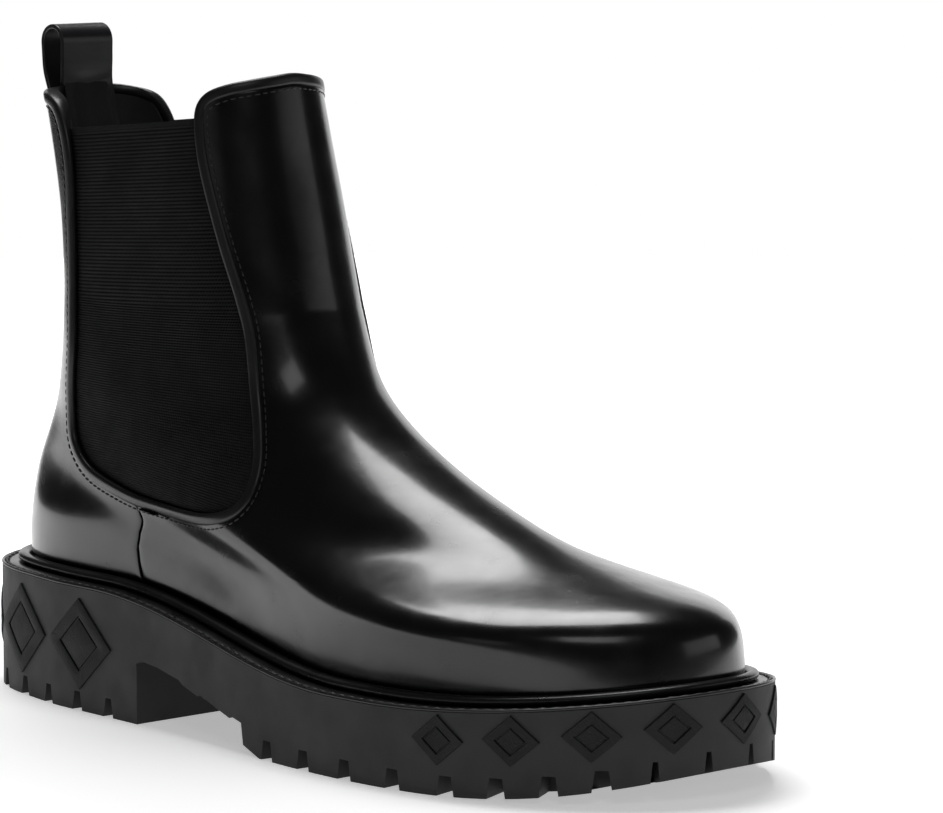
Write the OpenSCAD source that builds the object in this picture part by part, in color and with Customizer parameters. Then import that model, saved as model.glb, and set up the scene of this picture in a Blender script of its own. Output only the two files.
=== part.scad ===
// Chelsea boot, right foot. +X toe, -Y outer side, +Z up, origin on the ground under the middle.
// Every leather, elastic and lining panel is a closed shell between two offsets of one last surface.
// A place on the last is [height, angle]: millimetres above the feather line, and degrees from the toe
// round by the inner side (+) or the outer side (-) to the heel at 180.

/* [Sole] */
// Height of the feather line at the heel
heel_lift = 36.5; // [32:0.5:42]
// Height of the feather line at the ball of the foot
ball_lift = 22.5; // [20:0.5:27]
// Extra rise of the feather line at the toe
toe_rise = 5.6; // [3:0.1:8]
// Lift of the tread at the toe tip
toe_spring = 8; // [3:0.5:9]
// Width of the sole's ledge outside the upper
ledge = 10.3; // [9:0.1:12]
// Thickness of the welt
welt_t = 3.2; // [2.5:0.1:4]
// Width of the rounded bead along the feather line
rand_w = 4.4; // [3.4:0.1:4.8]
// Height of the rounded bead
rand_h = 2.8; // [2:0.1:4]
// Height of the slots between the lugs
lug_h = 5.5; // [4:0.5:8]
// Distance that a lug slot runs into the sole
lug_reach = 12; // [8:1:14]
// Width of a slot round the toe
toe_slot_w = 2; // [1.4:0.2:4]
// Width of a forefoot slot
fore_slot_w = 4.4; // [3:0.2:6]
// Width of a heel slot
heel_slot_w = 2.8; // [2:0.2:4]

/* [Upper] */
// Thickness of the outer leather
leather_t = 1.4; // [1.2:0.1:1.6]
// Thickness of the gores and the stiffeners
middle_t = 1.0; // [0.8:0.1:1.2]
// Thickness of the lining leather
lining_t = 0.9; // [0.7:0.1:1.0]
// Clearance between layers
layer_gap = 0.3; // [0.2:0.05:0.4]
// Width of the folded binding strips
binding_w = 3; // [2.4:0.1:3.6]
// Width of gore hidden under the leather edges
gore_tuck = 5; // [4:0.5:6]
// Radius of the sewing thread
thread_r = 0.3; // [0.2:0.05:0.4]

/* [Pull loop] */
// Width of the loop's strap
loop_w = 19; // [14:1:22]
// Thickness of the loop's strap
strap_t = 1.4; // [1.2:0.1:1.8]
// Outer radius of the loop's round top
loop_r = 5.3; // [5:0.1:7]
// Height of the round top's centre above the loop's root
loop_rise = 11.5; // [10:0.5:14]
// Height of the sewn ends of the strap
tab_h = 18; // [14:1:22]

/* [Hidden] */

// Cross-sections of the last, from below the feather line up to above the collar: height, rearmost x,
// foremost x, then the half girth at the heel, waist, middle, ball and toe ends of the section.
SECTIONS = [
    [-9, -133, 131.5, 52, 33, 36, 48.5, 62],
    [0, -132.5, 133, 52, 33, 36, 49.5, 62],
    [10, -133, 132.5, 51, 33.5, 35.5, 51, 60],
    [20, -132.5, 131.5, 49.5, 34, 35, 54, 57],
    [28, -132, 125.7, 47.5, 34, 35, 54.4, 53],
    [36, -131, 100, 46, 33.5, 36, 43.5, 46],
    [44, -129.5, 76, 44, 33.5, 36, 35, 41],
    [54, -126, 55, 42, 33.5, 35, 33.5, 38.5],
    [68, -120, 25.5, 39.5, 33.5, 34, 32, 36.5],
    [86, -115.5, 0.5, 37.5, 33.5, 32, 32, 35.5],
    [108, -113, -6.5, 36.5, 32.5, 30, 32.5, 36],
    [134, -112.5, -13.5, 35.5, 31, 28, 31.5, 35.5],
    [162, -118.5, -20.5, 34.5, 29, 26, 29.5, 34.5],
    [190, -127, -26.5, 33.5, 27.5, 24.5, 27.5, 33.5],
    [220, -136, -32, 33, 27, 24, 27, 33]
];
// Above this height the sections are level; below it they follow the slope of the sole
level_h = 118;
// Sideways curve of the forefoot towards the inner side, and the heel's place that centres the sole
swing = 9;
inner_lean = 11;
heel_y = -0.6;

// Free edge of the leather, inner side: over the front top edge, down the gore's front edge, round
// its bottom, up its rear edge and along the collar to the heel
EDGE = [
    [184, 0], [183.4, 11], [182.4, 22.5], [181, 34], [178.6, 43.5], [174.5, 49], [168, 50.8],
    [157, 50.5], [138, 46.5], [117, 41.5], [100, 43], [85, 48.5], [70, 59], [57, 70], [48.5, 78.5],
    [43.5, 86.5], [40.5, 94], [39.2, 102], [39.3, 110], [42.6, 116.5], [47.5, 123], [54, 127],
    [62, 129], [76, 128.5], [96, 126], [120, 126], [140, 124], [155, 121], [165.5, 121.5],
    [172.3, 125], [175, 131.5], [176, 144], [176.3, 160], [176.3, 180]
];
edge_end = len(EDGE) - 1;
// Places along EDGE, counted in its points
gore_top_front = 5.45;
split_above = 8.31;
split_below = 8.35;
gore_low = 17.2;
seam_top = 18.1;
gore_top_rear = 28.3;
// Side seam from the feather line to the gore
SEAM = [[0.4, 115.3], [6, 115.8], [12, 116.2], [18, 116.4], [24, 115.6], [30, 113.6]];
// Heights of the rows of the panels at the front and back middle lines
VAMP_ROWS = [
    0.4, 5, 10, 15, 20, 24, 27, 30, 33, 36, 39, 42, 45.5, 50, 55, 61, 68, 76, 85, 95, 105, 114, 123, 130.8
];
SHAFT_ROWS = [131.2, 136, 142, 148, 154, 160, 165, 170, 174, 177.4, 180.9];
QUARTER_ROWS = [
    0.4, 5, 10, 16, 22, 28, 34, 40, 46, 53, 61, 69, 77, 85, 93, 101, 109, 117, 125, 133, 141, 148.5,
    155, 160.5, 165.2, 169.5, 173.1
];

// Offsets of the layers from the last surface
middle_out = -leather_t - layer_gap;
middle_in = middle_out - middle_t;
lining_out = middle_in - layer_gap;
lining_in = lining_out - lining_t;
leather_edge = binding_w + 0.1;
seam_gap = 0.12;
thread_gap = 0.22;

// Shares by which all outside the feather line is narrower: inner side, and the heel's outer corner
inner_narrow = 0.27;
heel_narrow = 0.15;
// Ground line of the tread, and the arch
tread_flat_x = 75;
sole_nose = 141;
breast_x = -47.2;
breast_h = 18.5;
// Places of the forefoot slots, in millimetres along the outline from the toe
OUTER_SLOTS = [11.5, 26.5, 40.5, 54.5, 69, 84, 101.5, 119.5, 137, 154];
INNER_SLOTS = [3.5, 18.5, 33, 47.5, 62, 77, 93, 111, 129, 147];
// Place of the first heel slot from the middle of the heel, and their pitch
heel_slot_first = 7;
heel_pitch = 15.3;
// Length from the toe within which the slots are narrow
toe_slots_end = 30;
outline_n = 96;

loop_root = [-121.6, heel_y, 178.4];
loop_root_r = 1.5;
loop_spread = 16;
tab_top = 175.8;
tab_over = 1;

function mix(a, b, s) = a + (b - a) * s;
function unit(v) = v / norm(v);
function ease(s) = s * s * (3 - 2 * s);
function clamp(s, low, high) = min(high, max(low, s));

// Height of the feather line above the ground
function lift(x) =
    mix(heel_lift, ball_lift, ease(clamp((x + 70) / 116, 0, 1))) + toe_rise * pow(max(0, (x - 60) / 75), 2);

// Section at u, a cubic B-spline over the control sections
function section(u) =
    let(k = clamp(floor(u), 0, len(SECTIONS) - 4), f = u - k)
    (pow(1 - f, 3) * SECTIONS[k] + (3 * pow(f, 3) - 6 * f * f + 4) * SECTIONS[k + 1]
    + (-3 * pow(f, 3) + 3 * f * f + 3 * f + 1) * SECTIONS[k + 2] + pow(f, 3) * SECTIONS[k + 3]) / 6;
SECTION_OF_H = [for (k = [0:0.125:len(SECTIONS) - 3]) [section(k)[0], k]];

// Half girth at c, from -1 at the heel end to 1 at the toe end of a section
function girth(c, g) =
    (c * c - 0.25) * c * ((c - 1) * g[3] + (c + 1) * g[7]) / 1.5
    - (c * c - 1) * c * ((c - 0.5) * g[4] + (c + 0.5) * g[6]) / 0.375
    + (c * c - 1) * (c * c - 0.25) * g[5] / 0.25;

// Extra turn that sets the inner side's top rear corner further back than the outer side's
function lean(q) = q[1] <= 0 || q[1] >= 180 ? 0 :
    inner_lean * ease(clamp((q[0] - 115) / 50, 0, 1)) * ease(clamp((178 - q[1]) / 45, 0, 1))
        * ease(clamp((q[1] - 60) / 45, 0, 1));

function last(q) =
    let(
        g = section(lookup(q[0], SECTION_OF_H)),
        turn = q[1] + lean(q),
        c = cos(turn),
        x = (g[1] + g[2]) / 2 + (g[2] - g[1]) / 2 * c,
        z = lift(x)
    )
    [x, heel_y + sin(turn) * girth(c, g) + swing * pow(max(0, x / 135), 2),
        q[0] < level_h ? z + q[0] * (1 - z / level_h) : q[0]];
function up_step(q) = (last(q + [0.5, 0]) - last(q - [0.5, 0]));
function round_step(q) = (last(q + [0, 0.5]) - last(q - [0, 0.5]));
function normal(q) = unit(cross(round_step(q), up_step(q)));
function skin(q, d) = last(q) + normal(q) * d;

// Smooth curve through EDGE, carried on by symmetry past the front and the back middle lines
function edge_point(i) =
    i < 0 ? [EDGE[-i][0], -EDGE[-i][1]] :
    i > edge_end ? [EDGE[2 * edge_end - i][0], 360 - EDGE[2 * edge_end - i][1]] : EDGE[i];
function edge_curve(t) =
    let(k = min(floor(t), edge_end - 1), f = t - k, a = edge_point(k - 1), b = edge_point(k),
        c = edge_point(k + 1), d = edge_point(k + 2))
    b + f * ((c - a) / 2 + f * ((2 * a - 5 * b + 4 * c - d) / 2 + f * (3 * b - a - 3 * c + d) / 2));
// The place a distance w from the edge, measured on the last, away from the gore
function beside(t, w) =
    t < 0 ? mirrored(beside(-t, w)) :
    t > edge_end ? round_heel(beside(2 * edge_end - t, w)) :
    let(
        q = edge_curve(t),
        way = edge_curve(t + 0.05) - edge_curve(t - 0.05),
        a = up_step(q), b = round_step(q),
        n = unit(cross(b, a)),
        side = unit(cross(a * way[0] + b * way[1], n)) * w,
        det = (a * a) * (b * b) - (a * b) * (a * b)
    )
    q + [(side * a) * (b * b) - (side * b) * (a * b), (side * b) * (a * a) - (side * a) * (a * b)] / det;
function mirrored(q) = [q[0], -q[1]];
function round_heel(q) = [q[0], 360 - q[1]];
function reversed(list) = [for (i = [len(list) - 1:-1:0]) list[i]];

// Sole outline, a distance d outside the feather line
function rim(angle, d) =
    let(
        q = [0, angle], p = last(q), t = round_step(q), n = unit([t[1], -t[0]]),
        out = d <= 0 ? d : d * (1 - inner_narrow * ease(clamp((sin(angle) + 0.1) / 0.6, 0, 1))
            - heel_narrow * ease(clamp((cos(angle + 155) - 0.9) / 0.08, 0, 1)))
    )
    [p[0] + n[0] * out, p[1] + n[1] * out];

// Closed shell between two offsets of a grid of places; an offset is a number, or one per column
module sheet(grid, low, high) {
    rows = len(grid);
    cols = len(grid[0]);
    places = [for (r = grid) for (q = r) [last(q), normal(q)]];
    inner = [for (i = [0:rows * cols - 1])
        places[i][0] + places[i][1] * (is_list(low) ? low[i % cols] : low)];
    outer = [for (i = [0:rows * cols - 1])
        places[i][0] + places[i][1] * (is_list(high) ? high[i % cols] : high)];
    walls(inner, outer, rows, cols);
}

// Closed solid between two point grids, the second one outside
module walls(inner, outer, rows, cols) {
    n = rows * cols;
    function quad(a, b, c, d) = [[a, b, c], [a, c, d]];
    polyhedron(points = concat(inner, outer), faces = [
        for (i = [0:rows - 2], j = [0:cols - 2], f = let(k = i * cols + j)
            concat(quad(n + k, n + k + cols, n + k + cols + 1, n + k + 1),
                quad(k, k + 1, k + cols + 1, k + cols))) f,
        for (j = [0:cols - 2], f = let(k = (rows - 1) * cols + j)
            concat(quad(n + j, n + j + 1, j + 1, j), quad(n + k + 1, n + k, k, k + 1))) f,
        for (i = [0:rows - 2], f = let(k = i * cols, m = k + cols - 1)
            concat(quad(n + k + cols, n + k, k, k + cols), quad(n + m, n + m + cols, m + cols, m))) f
    ]);
}

// Closed solid through a row of sections, each a loop of points; open ends are capped
module loft(rings, closed = false) {
    count = len(rings);
    sides = len(rings[0]);
    last_ring = closed ? count - 1 : count - 2;
    polyhedron(points = [for (r = rings) for (p = r) p], faces = concat(
        [for (i = [0:last_ring], j = [0:sides - 1])
            [i * sides + j, i * sides + (j + 1) % sides, ((i + 1) % count) * sides + (j + 1) % sides]],
        [for (i = [0:last_ring], j = [0:sides - 1])
            [i * sides + j, ((i + 1) % count) * sides + (j + 1) % sides, ((i + 1) % count) * sides + j]],
        closed ? [] : [[for (j = [sides - 1:-1:0]) j], [for (j = [0:sides - 1]) (count - 1) * sides + j]]));
}

// Rows of places between a boundary on the inner side and its mirror image on the outer side
function front_grid(boundary, heights, cols) = [for (i = [0:len(heights) - 1])
    [for (j = [0:cols]) let(s = 2 * j / cols - 1, q = boundary[i])
        [mix(heights[i], q[0], abs(s)), q[1] * s]]];
function back_grid(boundary, heights, cols) = [for (i = [0:len(heights) - 1])
    [for (j = [0:cols]) let(s = 2 * j / cols - 1, q = boundary[i])
        [mix(heights[i], q[0], abs(s)), 180 + (180 - q[1]) * s]]];
// Part of a grid: rows 0 to last_row, leaving out a margin of columns on both sides
function part_of(grid, last_row, margin) =
    [for (i = [0:last_row]) [for (j = [margin:len(grid[0]) - 1 - margin]) grid[i][j]]];
function along(from, to, count) = [for (i = [0:count - 1]) mix(from, to, i / (count - 1))];
function on_side(grid, side) = side > 0 ? grid : [for (r = grid) reversed([for (q = r) mirrored(q)])];

// Rows of the panels along the edge; the bindings take the same ones, so that they run parallel
vamp_spots = along(seam_top, split_below, len(VAMP_ROWS) - len(SEAM));
corner_end = 30.6;
corner_rows = 6;
quarter_spots = concat(
    along(seam_top + 0.06, gore_top_rear, len(QUARTER_ROWS) - len(SEAM) - corner_rows + 1),
    [for (k = [1:corner_rows - 1]) mix(gore_top_rear, corner_end, k / (corner_rows - 1))]);
vamp_boundary = concat(SEAM, [for (t = vamp_spots) beside(t, leather_edge)]);
// The shaft's rows run up the gore edge, round the corner and end along the top edge
shaft_boundary = [for (t = along(split_above, 3.2, len(SHAFT_ROWS))) beside(t, leather_edge)];
quarter_boundary = concat([for (q = SEAM) q + [0, seam_gap * 3]],
    [for (t = quarter_spots) beside(t, leather_edge)]);
vamp_grid = front_grid(vamp_boundary, VAMP_ROWS, 20);
shaft_grid = front_grid(shaft_boundary, SHAFT_ROWS, 20);
quarter_grid = back_grid(quarter_boundary, QUARTER_ROWS, 16);

// Lining of the moving shaft: clear of the gores' hidden edges, so it can open forwards
shaft_lining_boundary = [for (t = along(split_above, 3.2, len(SHAFT_ROWS))) beside(t, gore_tuck + 1)];

function gore_grid(rows, cols) = [for (s = along(0.97, 0, rows))
    [for (j = [0:cols]) mix(beside(mix(gore_top_front, gore_low, s), gore_tuck),
        beside(mix(gore_top_rear, gore_low, s), gore_tuck), j / cols)]];

// Folded strip over the leather's edge, rounded on top
strip_across = [0, 0.25, 0.75, 1];
strip_low = [-leather_t, -leather_t, -leather_t, -leather_t];
strip_high = [-0.5, 0.35, 0.35, -0.1];
function strip_grid(spots) = [for (t = spots) [for (s = strip_across) beside(t, s * binding_w)]];
gore_spots = concat(reversed(vamp_spots), [for (t = quarter_spots) if (t < gore_top_rear - 0.1) t],
    [gore_top_rear - 0.02]);

// Sewing thread laid on the leather beside the binding
module thread(places) {
    rings = [for (i = [0:len(places) - 1])
        let(
            a = skin(places[max(0, i - 1)], 0),
            b = skin(places[min(len(places) - 1, i + 1)], 0),
            n = normal(places[i]),
            side = unit(cross(unit(b - a), n)),
            p = skin(places[i], thread_r + thread_gap)
        )
        [for (k = [0:4]) p + thread_r * (cos(72 * k) * n + sin(72 * k) * side)]];
    loft(rings);
}
thread_offset = binding_w + 1.3;
function thread_places(from, to, count) = [for (t = along(from, to, count)) beside(t, thread_offset)];

// Plate that follows the feather line: d inside the outline, between two heights over the feather line
module plate(d, low, high, from, to, rows) {
    across = 4;
    spots = [for (a = along(from, to, rows)) for (j = [0:across])
        mix(rim(a, d), rim(-a, d), j / across)];
    inner = [for (p = spots) [p[0], p[1], lift(p[0]) + low]];
    outer = [for (p = spots) [p[0], p[1], lift(p[0]) + high]];
    walls(inner, outer, rows, across + 1);
}

// Ring round the whole outline; section points are [distance outside the feather line, height over it]
module outline_ring(points) {
    loft([for (i = [0:outline_n - 1]) [for (p = points)
        let(q = rim(360 * i / outline_n, p[0]))
        [q[0], q[1], lift(q[0]) + p[1]]]], closed = true);
}

OUTLINE = [for (i = [0:outline_n - 1]) rim(360 * i / outline_n, ledge)];
// Length along one side of the outline from the toe to each of its points
function outline_at(side, i) = OUTLINE[side > 0 ? i : (outline_n - i) % outline_n];
function lengths(side, i = 0, sum = 0) =
    i > outline_n / 2 ? [] :
    concat([[sum, 360 * i / outline_n]],
        lengths(side, i + 1, sum + norm(outline_at(side, i + 1) - outline_at(side, i))));
INNER_ANGLE_AT = lengths(1);
OUTER_ANGLE_AT = lengths(-1);
function half_length(side) = side > 0 ? max([for (p = INNER_ANGLE_AT) p[0]]) :
    max([for (p = OUTER_ANGLE_AT) p[0]]);

// Side view of the tread and arch, from the toe to the heel
function ground(x) = toe_spring * pow(max(0, (x - tread_flat_x) / 66), 2.6);
function sole_profile() = concat(
    [for (i = [0:60]) let(x = mix(-sole_nose - 5, sole_nose + 5, i / 60)) [x, lift(x) - welt_t]],
    [for (i = [8:-1:0]) let(x = mix(tread_flat_x, sole_nose + 5, i / 8)) [x, ground(x)]],
    [[15, 0], [7, 2.6], [6, 8.6], [1, 9.6], [0, 9], [-15, 13], [-16.5, 12.6], [-24, 14.6],
        [-26, 15.8], [-37, 17.8], [breast_x + 2.5, breast_h], [breast_x, breast_h - 1],
        [breast_x, 0], [-sole_nose - 5, 0]]);

// The slots nearest the toe are narrower
function slot_width(length) = length < toe_slots_end ? toe_slot_w : fore_slot_w;
module lug_slot(length, side, width) {
    angle = side * lookup(length, side > 0 ? INNER_ANGLE_AT : OUTER_ANGLE_AT);
    p = rim(angle, ledge);
    q = rim(angle, 0);
    translate([p[0], p[1], 0])
        rotate([0, 0, atan2(p[1] - q[1], p[0] - q[0])])
        translate([-lug_reach, -width / 2, -1])
        cube([lug_reach + 5, width, lug_h + 1 + ground(p[0])]);
}

module outsole() {
    color([0.09, 0.09, 0.1])
    difference() {
        intersection() {
            linear_extrude(height = 60) polygon(OUTLINE);
            rotate([90, 0, 0]) linear_extrude(height = 160, center = true) polygon(sole_profile());
        }
        for (length = OUTER_SLOTS) lug_slot(length, -1, slot_width(length));
        for (length = INNER_SLOTS) lug_slot(length, 1, slot_width(length));
        for (side = [-1, 1], k = [0:6])
            lug_slot(half_length(side) - heel_slot_first - k * heel_pitch, side, heel_slot_w);
    }
}

module welt() {
    color([0.08, 0.08, 0.08])
    outline_ring([[-8.5, 0], [-8.5, 0.1 - welt_t], [ledge, 0.1 - welt_t], [ledge, 0]]);
}

module rand() {
    color([0.05, 0.05, 0.05])
    outline_ring([for (k = [0:7])
        [0.4 + rand_w / 2 * (1 + cos(45 * k)), 0.1 + rand_h / 2 * (1 - sin(45 * k))]]);
}

module welt_stitching() {
    color([0.15, 0.15, 0.15])
    outline_ring([for (k = [0:4])
        [ledge - 1.6 + thread_r * cos(-72 * k), thread_r * 1.4 + thread_r * sin(-72 * k)]]);
}

module bottom_filler() {
    color([0.55, 0.38, 0.22])
    plate(-9, 0.2 - welt_t, -0.1, 4, 82, 12);
}

module shank() {
    outer = heel_y - 7;
    inner = heel_y + 7;
    color([0.6, 0.61, 0.63])
    loft([for (x = [-100:10:0]) let(low = lift(x) - 2.6, high = lift(x) - 1)
        [[x, outer, low], [x, outer, high], [x, inner, high], [x, inner, low]]]);
}

module insole_board() {
    color([0.5, 0.36, 0.24])
    plate(-5, 0.3, 2.3, 3, 177, 30);
}

module footbed() {
    color([0.12, 0.12, 0.12])
    plate(-5.4, 2.5, 5.5, 3, 177, 30);
}

module vamp() {
    color([0.03, 0.03, 0.035])
    sheet(vamp_grid, -leather_t, 0);
}

module front_shaft() {
    color([0.04, 0.04, 0.05])
    sheet(shaft_grid, -leather_t, 0);
}

module quarter() {
    color([0.05, 0.05, 0.055])
    sheet(quarter_grid, -leather_t, 0);
}

module gore(side) {
    color([0.1, 0.1, 0.1])
    sheet(on_side(gore_grid(20, 8), side), middle_in, middle_out);
}
module gore_lateral() gore(-1);
module gore_medial() gore(1);

module gore_binding(side) {
    grid = strip_grid(gore_spots);
    low = side > 0 ? strip_low : reversed(strip_low);
    high = side > 0 ? strip_high : reversed(strip_high);
    color([0.07, 0.07, 0.08])
    sheet(on_side(grid, side), low, high);
}
module gore_binding_lateral() gore_binding(-1);
module gore_binding_medial() gore_binding(1);

module front_binding() {
    color([0.08, 0.08, 0.09])
    sheet(strip_grid(along(-split_above, split_above, 40)), strip_low, strip_high);
}

module collar_binding() {
    spots = along(gore_top_rear + 0.02, 2 * edge_end - gore_top_rear - 0.02, 30);
    color([0.08, 0.08, 0.09])
    sheet(strip_grid(spots), strip_low, strip_high);
}

module gore_stitching(side) {
    color([0.2, 0.2, 0.2])
    thread([for (q = thread_places(split_below + 0.1, gore_top_rear, 60)) side > 0 ? q : mirrored(q)]);
}
module gore_stitching_lateral() gore_stitching(-1);
module gore_stitching_medial() gore_stitching(1);

module front_stitching() {
    color([0.2, 0.2, 0.2])
    thread(thread_places(0.1 - split_above, split_above - 0.1, 54));
}

module collar_stitching() {
    color([0.2, 0.2, 0.2])
    thread(thread_places(gore_top_rear + 0.1, 2 * edge_end - gore_top_rear - 0.1, 36));
}

module vamp_lining() {
    color([0.16, 0.15, 0.15])
    sheet(vamp_grid, lining_in, lining_out);
}

module front_shaft_lining() {
    color([0.18, 0.17, 0.17])
    sheet(front_grid(shaft_lining_boundary, SHAFT_ROWS, 20), lining_in, lining_out);
}

module quarter_lining() {
    color([0.16, 0.15, 0.15])
    sheet(quarter_grid, lining_in, lining_out);
}

module toe_puff() {
    color([0.75, 0.72, 0.65])
    sheet(part_of(vamp_grid, 8, 5), middle_in, middle_out);
}

module heel_counter() {
    color([0.75, 0.72, 0.65])
    sheet(part_of(quarter_grid, 7, 2), middle_in, middle_out);
}

// Outline of the standing loop in side view, a teardrop; inset by the strap for its hole
function teardrop(inset) =
    let(big = loop_r - inset, small = loop_root_r - inset * 0.9, tilt = asin((big - small) / loop_rise))
    concat(
        [for (k = [0:20]) let(a = mix(-tilt, 180 + tilt, k / 20))
            [big * cos(a), loop_rise + big * sin(a)]],
        [for (k = [0:8]) let(a = mix(180 + tilt, 360 - tilt, k / 8))
            [small * cos(a), inset * 1.6 + small * sin(a)]]);

module pull_loop() {
    color([0.06, 0.06, 0.07])
    translate([loop_root[0], loop_root[1] + loop_w / 2, loop_root[2]])
        rotate([90, 0, 0])
        linear_extrude(height = loop_w)
        difference() {
            polygon(teardrop(0));
            polygon(teardrop(strap_t));
        }
}

function tab_grid(low) = [for (i = [0:6])
    [for (j = [0:6]) [mix(low, tab_top, i / 6), 180 + mix(-loop_spread, loop_spread, j / 6)]]];

module pull_tab_outer() {
    color([0.06, 0.06, 0.07])
    sheet(tab_grid(tab_top - tab_h), tab_over, tab_over + strap_t);
}

module pull_tab_inner() {
    color([0.06, 0.06, 0.07])
    sheet(tab_grid(tab_top - tab_h), lining_in - layer_gap - strap_t, lining_in - layer_gap);
}

// Box stitch on the outer sewn end
module pull_tab_stitching() {
    half = loop_spread * 0.72;
    low = tab_top - tab_h + 3;
    high = tab_top - 7;
    d = tab_over + strap_t + thread_gap + thread_r;
    corners = [[low, 180 - half], [high, 180 - half], [high, 180 + half], [low, 180 + half]];
    places = [for (i = [0:3]) for (k = [0:5]) mix(corners[i], corners[(i + 1) % 4], k / 6)];
    color([0.2, 0.2, 0.2])
    loft([for (i = [0:23])
        let(p = skin(places[i], d), n = normal(places[i]),
            out = unit(last(places[i]) - last([(low + high) / 2, 180])))
        [for (k = [0:4]) p + thread_r * (cos(72 * k) * n + sin(72 * k) * out)]], closed = true);
}

outsole();
welt();
rand();
welt_stitching();
bottom_filler();
shank();
insole_board();
footbed();
vamp();
front_shaft();
quarter();
gore_lateral();
gore_medial();
gore_binding_lateral();
gore_binding_medial();
front_binding();
collar_binding();
gore_stitching_lateral();
gore_stitching_medial();
front_stitching();
collar_stitching();
vamp_lining();
front_shaft_lining();
quarter_lining();
toe_puff();
heel_counter();
pull_loop();
pull_tab_outer();
pull_tab_inner();
pull_tab_stitching();
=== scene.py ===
import logging
import math
from collections.abc import Callable, Iterable
from dataclasses import dataclass
from enum import Enum

import bmesh
import bpy
import numpy as np
from mathutils import Matrix, Vector


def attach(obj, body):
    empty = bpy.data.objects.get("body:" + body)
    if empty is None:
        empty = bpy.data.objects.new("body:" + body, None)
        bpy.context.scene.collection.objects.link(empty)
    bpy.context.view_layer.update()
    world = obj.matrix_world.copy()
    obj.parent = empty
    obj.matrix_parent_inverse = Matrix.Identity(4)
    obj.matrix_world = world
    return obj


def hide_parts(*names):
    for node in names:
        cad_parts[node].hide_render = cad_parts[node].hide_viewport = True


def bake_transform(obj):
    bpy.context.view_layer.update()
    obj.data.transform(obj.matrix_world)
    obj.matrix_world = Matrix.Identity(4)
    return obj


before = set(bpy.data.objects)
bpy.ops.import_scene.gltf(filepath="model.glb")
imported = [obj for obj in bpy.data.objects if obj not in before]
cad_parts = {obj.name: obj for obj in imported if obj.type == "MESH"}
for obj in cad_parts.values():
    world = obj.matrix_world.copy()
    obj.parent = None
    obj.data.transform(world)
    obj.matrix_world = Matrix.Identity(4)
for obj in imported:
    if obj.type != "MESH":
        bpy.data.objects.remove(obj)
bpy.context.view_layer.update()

MM = 0.001
WHITE = (1.0, 1.0, 1.0, 1.0)
log = logging.getLogger("chelsea_boot")

Points = np.ndarray
Spread = Callable[[np.ndarray, np.ndarray], Points]
Drape = Callable[[np.ndarray, np.ndarray, np.ndarray, np.ndarray], np.ndarray]


def ease(share: np.ndarray | float) -> np.ndarray:
    """Returns the smooth step of a share, held between 0 and 1."""
    s = np.clip(share, 0.0, 1.0)
    return s * s * (3 - 2 * s)


def unit(vectors: Points) -> Points:
    """Returns the vectors at length 1."""
    return vectors / np.linalg.norm(vectors, axis=-1, keepdims=True)


def length_along(line: Points) -> np.ndarray:
    """Returns how far along a line of points each of them is."""
    return np.concatenate([[0], np.cumsum(np.linalg.norm(np.diff(line, axis=0), axis=1))])


# ---------------------------------------------------------------- the last and the edges drawn on it


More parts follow.
